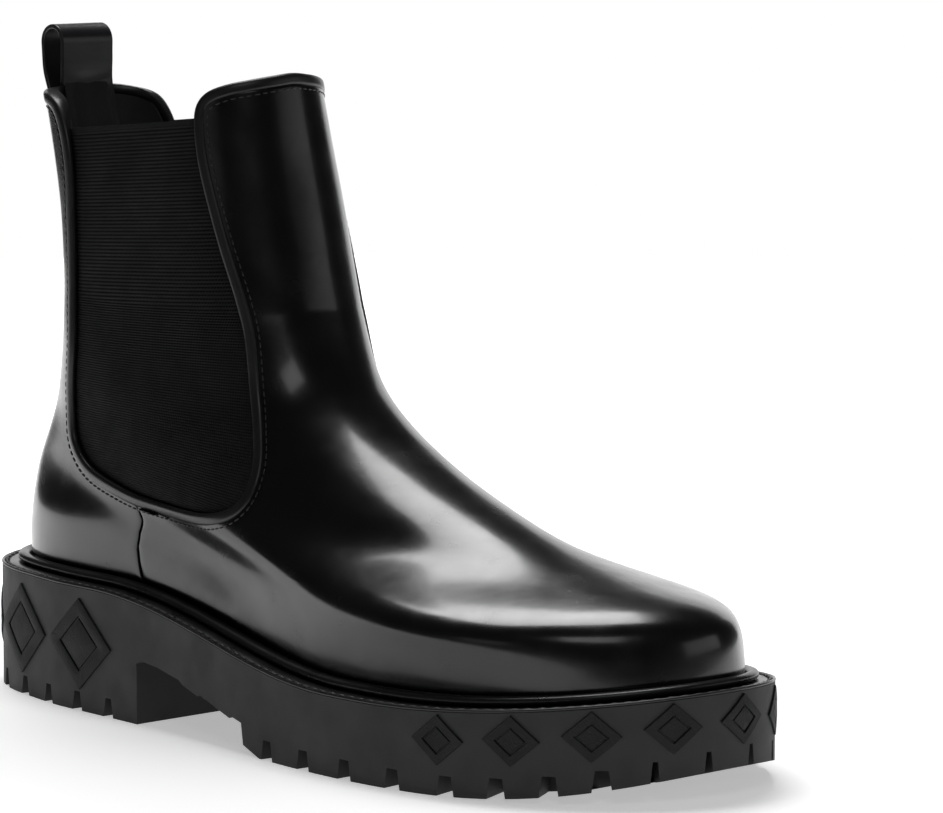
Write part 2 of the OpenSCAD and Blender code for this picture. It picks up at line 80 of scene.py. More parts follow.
@dataclass(frozen=True)
class Last:
    """The shoemaker's last that every panel is an offset of, in millimetres.

    A place on it is a height above the feather line and an angle in degrees: 0 at the toe, 180 at
    the heel, with the inner side positive.
    """

    heel_lift: float = 36.5
    ball_lift: float = 22.5
    toe_rise: float = 5.6
    level_h: float = 118.0
    swing: float = 9.0
    heel_y: float = -0.6
    inner_lean: float = 11.0
    inner_narrow: float = 0.27
    heel_narrow: float = 0.15
    # height, rearmost x, foremost x, then the half girth from the heel end to the toe end
    sections: tuple = (
        (-9, -133, 131.5, 52, 33, 36, 48.5, 62),
        (0, -132.5, 133, 52, 33, 36, 49.5, 62),
        (10, -133, 132.5, 51, 33.5, 35.5, 51, 60),
        (20, -132.5, 131.5, 49.5, 34, 35, 54, 57),
        (28, -132, 125.7, 47.5, 34, 35, 54.4, 53),
        (36, -131, 100, 46, 33.5, 36, 43.5, 46),
        (44, -129.5, 76, 44, 33.5, 36, 35, 41),
        (54, -126, 55, 42, 33.5, 35, 33.5, 38.5),
        (68, -120, 25.5, 39.5, 33.5, 34, 32, 36.5),
        (86, -115.5, 0.5, 37.5, 33.5, 32, 32, 35.5),
        (108, -113, -6.5, 36.5, 32.5, 30, 32.5, 36),
        (134, -112.5, -13.5, 35.5, 31, 28, 31.5, 35.5),
        (162, -118.5, -20.5, 34.5, 29, 26, 29.5, 34.5),
        (190, -127, -26.5, 33.5, 27.5, 24.5, 27.5, 33.5),
        (220, -136, -32, 33, 27, 24, 27, 33),
    )

    def lift(self, x: np.ndarray) -> np.ndarray:
        """Returns the height of the feather line above the ground at x."""
        fall = self.heel_lift + (self.ball_lift - self.heel_lift) * ease((x + 70) / 116)
        return fall + self.toe_rise * np.maximum(0, (x - 60) / 75) ** 2

    def _section(self, k: np.ndarray) -> np.ndarray:
        """Returns the section at k, a cubic B-spline over the control sections."""
        rows = np.array(self.sections, float)
        i = np.clip(np.floor(k).astype(int), 0, len(rows) - 4)
        f = (k - i)[..., None]
        return (
            (1 - f) ** 3 * rows[i]
            + (3 * f**3 - 6 * f**2 + 4) * rows[i + 1]
            + (-3 * f**3 + 3 * f**2 + 3 * f + 1) * rows[i + 2]
            + f**3 * rows[i + 3]
        ) / 6

    def _girth(self, c: np.ndarray, g: np.ndarray) -> np.ndarray:
        """Returns the half girth at c, from -1 at the heel end to 1 at the toe end."""
        return (
            (c * c - 0.25) * c * ((c - 1) * g[..., 0] + (c + 1) * g[..., 4]) / 1.5
            - (c * c - 1) * c * ((c - 0.5) * g[..., 1] + (c + 0.5) * g[..., 3]) / 0.375
            + (c * c - 1) * (c * c - 0.25) * g[..., 2] / 0.25
        )

    def _lean(self, height: np.ndarray, angle: np.ndarray) -> np.ndarray:
        """Returns the extra turn that sets the inner side's top rear corner further back."""
        inner = (angle > 0) & (angle < 180)
        high = ease((height - 115) / 50)
        return inner * self.inner_lean * high * ease((178 - angle) / 45) * ease((angle - 60) / 45)

    def surface(self, height: np.ndarray, angle: np.ndarray) -> Points:
        """Returns the points of the last at those places."""
        height, angle = np.broadcast_arrays(np.asarray(height, float), np.asarray(angle, float))
        steps = np.linspace(0, len(self.sections) - 3, 97)
        row = self._section(np.interp(height, self._section(steps)[:, 0], steps))
        turn = np.radians(angle + self._lean(height, angle))
        c = np.cos(turn)
        x = (row[..., 1] + row[..., 2]) / 2 + (row[..., 2] - row[..., 1]) / 2 * c
        y = self.heel_y + np.sin(turn) * self._girth(c, row[..., 3:])
        y = y + self.swing * np.maximum(0, x / 135) ** 2
        floor = self.lift(x)
        z = np.where(height < self.level_h, floor + height * (1 - floor / self.level_h), height)
        return np.stack([x, y, z], -1)

    def steps(self, height: np.ndarray, angle: np.ndarray) -> tuple[Points, Points]:
        """Returns how the point moves for one millimetre of height and for one degree of angle."""
        up = self.surface(height + 0.5, angle) - self.surface(height - 0.5, angle)
        round_ = self.surface(height, angle + 0.5) - self.surface(height, angle - 0.5)
        return up, round_

    def skin(self, height: np.ndarray, angle: np.ndarray, out: np.ndarray | float) -> Points:
        """Returns the points a distance out from the last."""
        up, round_ = self.steps(height, angle)
        normal = unit(np.cross(round_, up))
        return self.surface(height, angle) + normal * np.asarray(out, float)[..., None]

    def rim(self, angle: np.ndarray, out: np.ndarray | float) -> Points:
        """Returns plan points a distance outside the feather line."""
        base = self.surface(0.0, angle)[..., :2]
        t = (self.surface(0.0, angle + 0.5) - self.surface(0.0, angle - 0.5))[..., :2]
        turn = np.radians(angle)
        inner = self.inner_narrow * ease((np.sin(turn) + 0.1) / 0.6)
        heel = self.heel_narrow * ease((np.cos(turn + math.radians(155)) - 0.9) / 0.08)
        away = np.where(np.asarray(out, float) > 0, out * (1 - inner - heel), out)
        return base + unit(np.stack([t[..., 1], -t[..., 0]], -1)) * away[..., None]

    def ledge(self, angle: np.ndarray, out: np.ndarray | float, high: np.ndarray | float) -> Points:
        """Returns points outside the feather line, at a height over the welt's top."""
        plan = self.rim(angle, out)
        return np.concatenate([plan, (self.lift(plan[..., 0]) + high)[..., None]], -1)


LAST = Last()


@dataclass(frozen=True)
class TopLine:
    """The free edge of the leather, as a smooth curve of places along which t counts the points.

    It runs over the front's top edge, down the gore's front edge, round its bottom, up its rear
    edge and along the collar to the heel. Negative t is the outer side.
    """

    gore_top_front: float = 5.45
    gore_low: float = 17.2
    seam_top: float = 18.1
    gore_top_rear: float = 28.3
    points: tuple = (
        (184, 0), (183.4, 11), (182.4, 22.5), (181, 34), (178.6, 43.5), (174.5, 49), (168, 50.8),
        (157, 50.5), (138, 46.5), (117, 41.5), (100, 43), (85, 48.5), (70, 59), (57, 70),
        (48.5, 78.5), (43.5, 86.5), (40.5, 94), (39.2, 102), (39.3, 110), (42.6, 116.5),
        (47.5, 123), (54, 127), (62, 129), (76, 128.5), (96, 126), (120, 126), (140, 124),
        (155, 121), (165.5, 121.5), (172.3, 125), (175, 131.5), (176, 144), (176.3, 160), (176.3, 180),
    )

    @property
    def end(self) -> int:
        """Returns t at the middle of the heel's collar."""
        return len(self.points) - 1

    def places(self, t: np.ndarray) -> np.ndarray:
        """Returns the places of the edge at t, from 0 to the end."""
        inner = np.array(self.points, float)
        before = inner[2:0:-1] * (1, -1)
        after = (inner[-2:-4:-1] - (0, 360)) * (1, -1)
        p = np.concatenate([before, inner, after])
        i = np.clip(np.floor(t).astype(int), 0, self.end - 1)
        f = (t - i)[..., None]
        a, b, c, d = p[i + 1], p[i + 2], p[i + 3], p[i + 4]
        return b + f * ((c - a) / 2 + f * ((2 * a - 5 * b + 4 * c - d) / 2 + f * (3 * b - a - 3 * c + d) / 2))

    def beside(self, t: np.ndarray, away: np.ndarray | float) -> tuple[np.ndarray, np.ndarray]:
        """Returns the places beside the edge.

        Args:
            t: Where along the edge; below 0 is the outer side, and past the end it comes back
                along the outer side from the heel.
            away: Millimetres away from the edge, into the leather.

        Returns:
            The heights and the angles.
        """
        t, away = np.broadcast_arrays(np.asarray(t, float), np.asarray(away, float))
        outer = t < 0
        past = t > self.end
        s = np.where(outer, -t, np.where(past, 2 * self.end - t, t))
        q = self.places(s)
        near = np.clip(s, 0.05, self.end - 0.05)
        way = self.places(near + 0.05) - self.places(near - 0.05)
        up, round_ = LAST.steps(q[..., 0], q[..., 1])
        normal = unit(np.cross(round_, up))
        side = unit(np.cross(up * way[..., :1] + round_ * way[..., 1:], normal)) * away[..., None]
        uu, vv, uv = (up * up).sum(-1), (round_ * round_).sum(-1), (up * round_).sum(-1)
        su, sv = (side * up).sum(-1), (side * round_).sum(-1)
        det = uu * vv - uv * uv
        height = q[..., 0] + (su * vv - sv * uv) / det
        angle = q[..., 1] + (sv * uu - su * uv) / det
        angle = np.where(outer, -angle, np.where(past, 360 - angle, angle))
        return height, angle


EDGE = TopLine()


# ---------------------------------------------------------------- meshes


def new_object(name: str, bm: bmesh.types.BMesh, smooth: bool = True) -> bpy.types.Object:
    """Makes a scene object of a bmesh in millimetres, with its place in its mesh.

    Args:
        name: Name of the piece.
        bm: The shape, in millimetres; it is freed.
        smooth: Whether the faces are shaded smooth.

    Returns:
        The new object.
    """
    bmesh.ops.scale(bm, verts=bm.verts, vec=(MM, MM, MM))
    mesh = bpy.data.meshes.new(name)
    bm.to_mesh(mesh)
    bm.free()
    if smooth:
        mesh.shade_smooth()
    obj = bpy.data.objects.new(name, mesh)
    bpy.context.scene.collection.objects.link(obj)
    return obj


def add_grid(
    bm: bmesh.types.BMesh,
    across: int,
    up: int,
    place: Spread,
    size: tuple[float, float] = (1.0, 1.0),
    closed: bool = False,
) -> list[bmesh.types.BMVert]:
    """Adds a grid that is bent over a surface, with its UV map in real size.

    Args:
        bm: The bmesh that takes it.
        across: Number of faces along u.
        up: Number of faces along v.
        place: Gives the points in millimetres for arrays of u and v, both from 0 to 1.
        size: The grid's real width and height in millimetres, for the UV map.
        closed: Whether opposite edges meet and are merged.

    Returns:
        The new vertices, or what is left of them after merging.
    """
    uv = bm.loops.layers.uv.verify()
    made = bmesh.ops.create_grid(bm, x_segments=across, y_segments=up, size=1.0, calc_uvs=True)
    verts = made["verts"]
    flat = np.array([v.co[:2] for v in verts])
    share = np.clip((flat + 1) / 2, 0.0, 1.0)
    for vert, point in zip(verts, place(share[:, 0], share[:, 1])):
        vert.co = point
    faces = {f for v in verts for f in v.link_faces}
    for face in faces:
        for loop in face.loops:
            loop[uv].uv = (loop[uv].uv[0] * size[0], loop[uv].uv[1] * size[1])
    if closed:
        bmesh.ops.remove_doubles(bm, verts=verts, dist=1e-4)
        verts = [v for v in verts if v.is_valid]
    return verts


def grid_piece(
    name: str,
    across: int,
    up: int,
    place: Spread,
    size: tuple[float, float] = (1.0, 1.0),
    closed: bool = False,
) -> bpy.types.Object:
    """Makes one piece of a single bent grid; the arguments are those of add_grid."""
    bm = bmesh.new()
    add_grid(bm, across, up, place, size, closed)
    return new_object(name, bm)


def thicken(obj: bpy.types.Object, thickness: float, offset: float = -1.0) -> bpy.types.Object:
    """Gives a sheet its wall, in millimetres; at offset -1 the wall grows inwards."""
    wall = obj.modifiers.new("Wall", "SOLIDIFY")
    wall.thickness = thickness * MM
    wall.offset = offset
    wall.use_even_offset = False
    return obj


def round_edges(obj: bpy.types.Object, width: float, angle: float) -> bpy.types.Object:
    """Rounds edges sharper than that angle with a bevel of that width in millimetres."""
    bevel = obj.modifiers.new("Edges", "BEVEL")
    bevel.width = width * MM
    bevel.segments = 2
    bevel.limit_method = "ANGLE"
    bevel.angle_limit = math.radians(angle)
    bevel.harden_normals = True
    return obj


def boolean(obj: bpy.types.Object, other: bpy.types.Object, operation: str) -> bpy.types.Object:
    """Cuts or keeps part of a piece with another object, which is then removed."""
    cut = obj.modifiers.new("Cut", "BOOLEAN")
    cut.operation = operation
    cut.solver = "EXACT"
    cut.use_self = True
    cut.object = other
    bpy.context.view_layer.update()
    graph = bpy.context.evaluated_depsgraph_get()
    mesh = bpy.data.meshes.new_from_object(obj.evaluated_get(graph))
    obj.modifiers.clear()
    obj.data = mesh
    bpy.data.objects.remove(other)
    return obj


@dataclass(frozen=True)
class Stitching:
    """A row of stitches along a line of points."""

    pitch: float
    length: float
    width: float
    sink: float = 0.0

    def piece(self, name: str, rows: Iterable[tuple[Points, Points]]) -> bpy.types.Object:
        """Makes one piece of all the stitches along some seams.

        Args:
            name: Name of the piece.
            rows: For each seam its points in order and the outward directions there.

        Returns:
            The new piece.
        """
        bm = bmesh.new()
        count = sum(self._add(bm, line, normals) for line, normals in rows)
        log.info("%s: %d stitches", name, count)
        return new_object(name, bm)

    def _add(self, bm: bmesh.types.BMesh, line: Points, normals: Points) -> int:
        """Adds one capsule per stitch.

        Args:
            bm: The bmesh that takes them.
            line: The points of the seam in order, in millimetres.
            normals: The outward directions at those points.

        Returns:
            The number of stitches.
        """
        way = length_along(line)
        count = max(1, int(way[-1] / self.pitch))
        for k in range(count):
            spot = (k + 0.5) * way[-1] / count
            ends = [np.array([np.interp(spot + d, way, line[:, i]) for i in range(3)]) for d in (-0.4, 0.4)]
            normal = unit(np.array([np.interp(spot, way, normals[:, i]) for i in range(3)]))
            along = unit(ends[1] - ends[0])
            across = unit(np.cross(normal, along))
            top = np.cross(along, across)
            middle = Matrix.Translation(Vector((ends[0] + ends[1]) / 2 - normal * self.sink))
            turn = Matrix(np.stack([along, across, top], 1).tolist()).to_4x4()
            size = Matrix.Diagonal((self.length / 2, self.width / 2, self.width / 2, 1.0))
            bmesh.ops.create_uvsphere(
                bm,
                u_segments=6,
                v_segments=4,
                radius=1.0,
                matrix=middle @ turn @ size @ Matrix.Rotation(math.pi / 2, 4, "Y"),
            )
        return count


# ---------------------------------------------------------------- finishes


def add_node(
    tree: bpy.types.NodeTree,
    kind: str,
    settings: dict[str, str] | None = None,
    values: dict[str | int, object] | None = None,
    links: dict[str | int, bpy.types.NodeSocket] | None = None,
) -> bpy.types.Node:
    """Adds a shader node.

    Args:
        tree: The node tree that takes it.
        kind: Blender's name of the node type.
        settings: The node's own options, which are set first.
        values: Constant values of its inputs.
        links: The outputs of other nodes that feed its inputs.

    Returns:
        The new node.
    """
    node = tree.nodes.new(kind)
    for name, value in (settings or {}).items():
        setattr(node, name, value)
    set_inputs(node, values or {})
    for name, source in (links or {}).items():
        tree.links.new(source, node.inputs[name])
    return node


def set_inputs(node: bpy.types.Node, values: dict[str | int, object]) -> None:
    """Sets inputs of a node to constant values."""
    for name, value in values.items():
        node.inputs[name].default_value = value


class Pattern(Enum):
    """What the surface of a material shows close up."""

    GRAIN = "grain"
    RIBS = "ribs"
    SPECKLE = "speckle"
    TWIST = "twist"
    NAP = "nap"
    BRUSHED = "brushed"
    CORK = "cork"


@dataclass(frozen=True)
class Finish:
    """One procedural material: its colours, gloss and close-up relief."""

    name: str
    colour: tuple[float, float, float]
    second: tuple[float, float, float]
    rough: tuple[float, float]
    pattern: Pattern
    cell: float
    depth: float
    patch: float = 28.0
    strength: float = 0.5
    metal: float = 0.0
    coat: float = 0.0
    coat_rough: float = 0.1
    specular: float = 0.5
    wave: float = 0.0
    wave_length: float = 9.0

    def build(self) -> bpy.types.Material:
        """Builds the node tree.

        Returns:
            The finished material.
        """
        material = bpy.data.materials.new(self.name)
        material.use_nodes = True
        tree = material.node_tree
        shader = tree.nodes["Principled BSDF"]
        set_inputs(shader, {
            "Metallic": self.metal,
            "Coat Weight": self.coat,
            "Coat Roughness": self.coat_rough,
            "Specular IOR Level": self.specular,
        })
        place = add_node(tree, "ShaderNodeTexCoord")
        spot = place.outputs["Object"]
        patches = self._noise(tree, spot, 1 / (self.patch * MM), 3.0)
        colours = add_node(
            tree, "ShaderNodeMix", {"data_type": "RGBA"},
            {"A": (*self.colour, 1.0), "B": (*self.second, 1.0)}, {"Factor": patches},
        )
        tree.links.new(colours.outputs["Result"], shader.inputs["Base Color"])
        fine = self._noise(tree, spot, 3 / (self.patch * MM), 5.0)
        gloss = add_node(
            tree, "ShaderNodeMapRange", None,
            {"From Min": 0.3, "From Max": 0.7, "To Min": self.rough[0], "To Max": self.rough[1]},
            {"Value": fine},
        )
        tree.links.new(gloss.outputs["Result"], shader.inputs["Roughness"])
        bump = add_node(
            tree, "ShaderNodeBump", None,
            {"Strength": self.strength, "Distance": self.depth * MM},
            {"Height": self._relief(tree, place)},
        )
        tree.links.new(bump.outputs["Normal"], shader.inputs["Normal"])
        if self.wave > 0:
            broad = add_node(
                tree, "ShaderNodeBump", None,
                {"Strength": 1.0, "Distance": self.wave * MM},
                {"Height": self._noise(tree, spot, 1 / (self.wave_length * MM), 2.0)},
            )
            tree.links.new(broad.outputs["Normal"], bump.inputs["Normal"])
        return material

    def _noise(
        self, tree: bpy.types.NodeTree, vector: bpy.types.NodeSocket, scale: float, detail: float
    ) -> bpy.types.NodeSocket:
        """Adds a noise texture and returns its output socket."""
        noise = add_node(
            tree, "ShaderNodeTexNoise", None, {"Scale": scale, "Detail": detail}, {"Vector": vector}
        )
        return noise.outputs["Fac"]

    def _relief(self, tree: bpy.types.NodeTree, place: bpy.types.Node) -> bpy.types.NodeSocket:
        """Adds the pattern's nodes and returns the socket that holds its height."""
        spot = place.outputs["Object"]
        scale = 1 / (self.cell * MM)
        if self.pattern in (Pattern.GRAIN, Pattern.CORK):
            feature = "SMOOTH_F1" if self.pattern is Pattern.GRAIN else "F1"
            cells = add_node(
                tree, "ShaderNodeTexVoronoi", {"feature": feature}, {"Scale": scale}, {"Vector": spot}
            )
            mixed = add_node(
                tree, "ShaderNodeMath", {"operation": "MULTIPLY_ADD"}, {1: 0.5},
                {0: cells.outputs["Distance"], 2: self._noise(tree, spot, scale * 0.4, 6.0)},
            )
            return mixed.outputs["Value"]
        if self.pattern is Pattern.RIBS:
            ribs = add_node(
                tree, "ShaderNodeTexWave", {"bands_direction": "X"},
                {"Scale": 0.5 / self.cell, "Distortion": 0.6, "Detail": 1.0},
                {"Vector": place.outputs["UV"]},
            )
            return ribs.outputs["Fac"]
        if self.pattern is Pattern.BRUSHED:
            stretch = add_node(
                tree, "ShaderNodeMapping", None, {"Scale": (1.0, 30.0, 30.0)}, {"Vector": spot}
            )
            return self._noise(tree, stretch.outputs["Vector"], scale * 0.05, 4.0)
        return self._noise(tree, spot, scale, 2.0 if self.pattern is Pattern.SPECKLE else 5.0)


POLISHED = Finish(
    "polished_leather", (0.0032, 0.0032, 0.004), (0.006, 0.006, 0.0068), (0.2, 0.28), Pattern.GRAIN,
    cell=0.9, depth=0.1, strength=0.08, coat=0.25, coat_rough=0.12, wave=0.05,
)
BINDING = Finish(
    "binding_leather", (0.009, 0.009, 0.01), (0.014, 0.014, 0.015), (0.3, 0.42), Pattern.GRAIN,
    cell=0.6, depth=0.1, strength=0.3,
)
STRAP = Finish(
    "strap_leather", (0.01, 0.01, 0.012), (0.018, 0.018, 0.021), (0.3, 0.4), Pattern.GRAIN,
    cell=0.5, depth=0.1, strength=0.25, coat=0.1,
)
ELASTIC = Finish(
    "elastic_weave", (0.0045, 0.0045, 0.005), (0.008, 0.008, 0.0085), (0.75, 0.9), Pattern.RIBS,
    cell=0.8, depth=0.2, strength=0.5, specular=0.25,
)
LINING = Finish(
    "lining_leather", (0.02, 0.02, 0.022), (0.032, 0.031, 0.033), (0.55, 0.75), Pattern.NAP,
    cell=0.5, depth=0.12, strength=0.4, specular=0.35,
)
THREAD = Finish(
    "waxed_thread", (0.012, 0.012, 0.013), (0.03, 0.03, 0.032), (0.3, 0.42), Pattern.TWIST,
    cell=0.35, depth=0.08, strength=0.6,
)
WELT_THREAD = Finish(
    "welt_thread", (0.05, 0.05, 0.053), (0.12, 0.12, 0.125), (0.35, 0.5), Pattern.TWIST,
    cell=0.35, depth=0.08, strength=0.6,
)
RELIEF_RUBBER = Finish(
    "relief_rubber", (0.006, 0.006, 0.0065), (0.014, 0.014, 0.015), (0.6, 0.75), Pattern.SPECKLE,
    cell=0.5, depth=0.2, strength=0.8, specular=0.3,
)
SOLE_RUBBER = Finish(
    "sole_rubber", (0.018, 0.018, 0.0195), (0.024, 0.024, 0.026), (0.55, 0.68), Pattern.SPECKLE,
    cell=0.35, depth=0.08, strength=0.35, specular=0.4,
)
WELT_RUBBER = Finish(
    "welt_rubber", (0.009, 0.009, 0.0095), (0.016, 0.016, 0.017), (0.26, 0.38), Pattern.SPECKLE,
    cell=0.9, depth=0.08, strength=0.25,
)
FOAM = Finish(
    "footbed_leather", (0.022, 0.021, 0.021), (0.034, 0.033, 0.032), (0.5, 0.65), Pattern.GRAIN,
    cell=0.8, depth=0.12, strength=0.4,
)
BOARD = Finish(
    "fibreboard", (0.24, 0.15, 0.08), (0.32, 0.21, 0.12), (0.7, 0.85), Pattern.NAP,
    cell=1.2, depth=0.1, patch=6.0,
)
CORK = Finish(
    "cork_filler", (0.3, 0.17, 0.08), (0.16, 0.08, 0.035), (0.8, 0.9), Pattern.CORK,
    cell=1.5, depth=0.3, patch=2.5,
)
STEEL = Finish(
    "spring_steel", (0.5, 0.51, 0.53), (0.4, 0.41, 0.43), (0.28, 0.42), Pattern.BRUSHED,
    cell=0.5, depth=0.05, metal=1.0,
)
STIFFENER = Finish(
    "stiffener_board", (0.5, 0.47, 0.4), (0.42, 0.38, 0.31), (0.7, 0.85), Pattern.NAP,
    cell=0.8, depth=0.08, patch=5.0,
)


@dataclass
class Dresser:
    """Gives pieces their finish, and makes each material once."""

    made: dict[str, bpy.types.Material]

    def dress(self, obj: bpy.types.Object, finish: Finish, slot: str | None = None) -> None:
        """Puts a finish on every slot of a piece.

        Args:
            obj: A new piece or a CAD node.
            finish: The finish it gets.
            slot: Not used.
        """
        if finish.name not in self.made:
            self.made[finish.name] = finish.build()
        material = self.made[finish.name]
        if obj.material_slots:
            for place in obj.material_slots:
                place.material = material
        else:
            obj.data.materials.append(material)


# ---------------------------------------------------------------- the sole


@dataclass
class Sole:
    """The moulded rubber sole, its welt and bead, and what lies inside it."""

    dresser: Dresser
    ledge: float = 10.3
    welt_t: float = 3.2
    lip: float = 0.7
    cup_wall: float = 0.6
    edge_r: float = 0.35
    crease: float = 35.0
    # reach of the cutting blocks: below the ground, upwards and to either side
    prism_low: float = -2.0
    prism_h: float = 55.0
    clear: float = 90.0
    bead_w: float = 4.4
    bead_h: float = 2.8
    tread_flat_x: float = 75.0
    toe_spring: float = 8.0
    nose: float = 146.0
    breast_x: float = -47.2
    breast_h: float = 18.5
    arch: tuple = (
        (15, 0), (7, 2.6), (6, 8.6), (1, 9.6), (0, 9), (-15, 13), (-16.5, 12.6), (-24, 14.6),
        (-26, 15.8), (-37, 17.8),
    )
    slot_h: float = 5.5
    slot_reach: float = 13.0
    heel_slot_first: float = 7.0
    heel_pitch: float = 15.3
    heel_slots: int = 7
    toe_slots_end: float = 30.0
    toe_slot: tuple = (1.4, 2.5)
    fore_slot: tuple = (3.6, 5.0)
    heel_slot: tuple = (2.6, 4.6)
    bars: tuple = (-122.0, -107.0, -92.0, -77.0, 22.0, 42.0, 62.0, 82.0, 102.0, 118.0)
    bar: tuple = (3.6, 5.0)
    outer_slots: tuple = (11.5, 26.5, 40.5, 54.5, 69, 84, 101.5, 119.5, 137, 154)
    inner_slots: tuple = (3.5, 18.5, 33, 47.5, 62, 77, 93, 111, 129, 147)
    toe_pitch: float = 21.6
    toe_stud: tuple = (16.0, 13.5, 8.1)
    heel_studs: tuple = (17.5, 51.3, 85.1)
    heel_stud: tuple = (31.0, 26.5, 19.6)

    def __post_init__(self) -> None:
        """Measures both sides of the outline, so that places along it can be in millimetres."""
        self._angles = np.linspace(0, 180, 721)
        self._ways = {}
        for side in (-1, 1):
            self._ways[side] = length_along(LAST.rim(side * self._angles, self.ledge))

    def half_length(self, side: int) -> float:
        """Returns the outline's length from the toe to the heel on one side."""
        return float(self._ways[side][-1])

    def angle_at(self, side: int, way: np.ndarray | float) -> np.ndarray:
        """Returns the angle at a distance from the toe; past either end it goes on round."""
        full = self._ways[side][-1]
        size = np.abs(way)
        size = np.where(size > full, 2 * full - size, size)
        sign = np.where(np.asarray(way) < 0, -side, side) * np.where(np.abs(way) > full, -1, 1)
        return sign * np.interp(size, self._ways[side], self._angles)

    def ground(self, x: np.ndarray) -> np.ndarray:
        """Returns the height of the tread at x, which rises towards the toe."""
        return self.toe_spring * np.maximum(0, (x - self.tread_flat_x) / 66) ** 2.6

    def build(self) -> None:
        """Builds every piece of the sole and dresses the CAD parts inside it."""
        self._outsole()
        self._welt()
        self._bead()
        self._welt_stitches()
        self._footbed()
        for node, finish in (
            ("insole_board", BOARD),
            ("bottom_filler", CORK),
            ("shank", STEEL),
        ):
            self.dresser.dress(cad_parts[node], finish)

    def _outsole(self) -> None:
        """Models the outsole with its lugs, arch, tread and relief studs."""
        body = boolean(self._prism(self.ledge), self._side_view(self.lip), "INTERSECT")
        pocket = boolean(self._prism(self.ledge - self.cup_wall), self._above_sole(), "INTERSECT")
        boolean(body, pocket, "DIFFERENCE")
        boolean(body, self._cutters(), "DIFFERENCE")
        bm = bmesh.new()
        bm.from_mesh(body.data)
        bmesh.ops.scale(bm, verts=bm.verts, vec=(1 / MM, 1 / MM, 1 / MM))
        bmesh.ops.remove_doubles(bm, verts=bm.verts, dist=0.01)
        bmesh.ops.dissolve_limit(bm, angle_limit=math.radians(0.5), verts=bm.verts, edges=bm.edges)
        bpy.data.objects.remove(body)
        sole = new_object("outsole_moulding", bm, smooth=False)
        round_edges(sole, self.edge_r, self.crease)
        sole.data.set_sharp_from_angle(angle=math.radians(self.crease))
        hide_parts("outsole")
        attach(sole, "boot")
        self.dresser.dress(sole, SOLE_RUBBER, "sole_rubber")
        studs = self._studs()
        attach(studs, "boot")
        self.dresser.dress(studs, RELIEF_RUBBER, "sole_rubber")

    def _prism(self, out: float) -> bpy.types.Object:
        """Returns an outline round the feather line pulled up into a tall block."""
        bm = bmesh.new()
        ring = bmesh.ops.create_circle(bm, cap_ends=True, segments=360, radius=1.0)["verts"]
        turns = np.degrees([math.atan2(v.co.y, v.co.x) for v in ring])
        for vert, spot in zip(ring, LAST.rim(turns, np.full(len(turns), out))):
            vert.co = (*spot, self.prism_low)
        made = bmesh.ops.extrude_face_region(bm, geom=list(bm.faces))
        top = [g for g in made["geom"] if isinstance(g, bmesh.types.BMVert)]
        bmesh.ops.translate(bm, verts=top, vec=(0, 0, self.prism_h + 5))
        bmesh.ops.recalc_face_normals(bm, faces=bm.faces)
        return new_object("sole_prism", bm)

    def _slab(self, outline: Iterable[tuple[float, float]]) -> bpy.types.Object:
        """Returns a side view pulled out to both sides."""
        bm = bmesh.new()
        face = bm.faces.new([bm.verts.new((x, -self.clear, z)) for x, z in outline])
        made = bmesh.ops.extrude_face_region(bm, geom=[face])
        far = [g for g in made["geom"] if isinstance(g, bmesh.types.BMVert)]
        bmesh.ops.translate(bm, verts=far, vec=(0, 2 * self.clear, 0))
        bmesh.ops.recalc_face_normals(bm, faces=bm.faces)
        return new_object("sole_side_view", bm)

    def _side_view(self, under: float) -> bpy.types.Object:
        """Returns the sole's side view: flat tread, arch steps, heel and top line."""
        top_x = np.linspace(-self.nose, self.nose, 90)
        toe_x = np.linspace(self.nose, self.tread_flat_x, 16)
        heel = (
            (self.breast_x + 2.5, self.breast_h), (self.breast_x, self.breast_h - 1),
            (self.breast_x, 0), (-self.nose, 0),
        )
        outline = [(x, float(LAST.lift(x)) - under) for x in top_x]
        outline += [(x, float(self.ground(x))) for x in toe_x]
        return self._slab([*outline, *self.arch, *heel])

    def _above_sole(self) -> bpy.types.Object:
        """Returns all that lies above the seat of the welt."""
        xs = np.linspace(self.nose, -self.nose, 90)
        outline = [(x, float(LAST.lift(x)) - self.welt_t) for x in xs]
        return self._slab(outline + [(-self.nose, self.prism_h), (self.nose, self.prism_h)])

    def _cutters(self) -> bpy.types.Object:
        """Returns the wedges that cut the lug slots and the bars that cut the tread."""
        bm = bmesh.new()
        for side, slots in ((-1, self.outer_slots), (1, self.inner_slots)):
            for way in slots:
                widths = self.toe_slot if way < self.toe_slots_end else self.fore_slot
                self._wedge(bm, side, way, *widths)
            for k in range(self.heel_slots):
                way = self.half_length(side) - self.heel_slot_first - k * self.heel_pitch
                self._wedge(bm, side, way, *self.heel_slot)
        bar_w, bar_h = self.bar
        for x in self.bars:
            length = 40.0 if x < 0 else 50.0
            low = float(self.ground(np.array(x)))
            place = Matrix.Translation((x, 0.0, low)) @ Matrix.Diagonal((bar_w, length, bar_h, 1.0))
            bmesh.ops.create_cube(bm, size=1.0, matrix=place)
        return new_object("sole_cutters", bm)

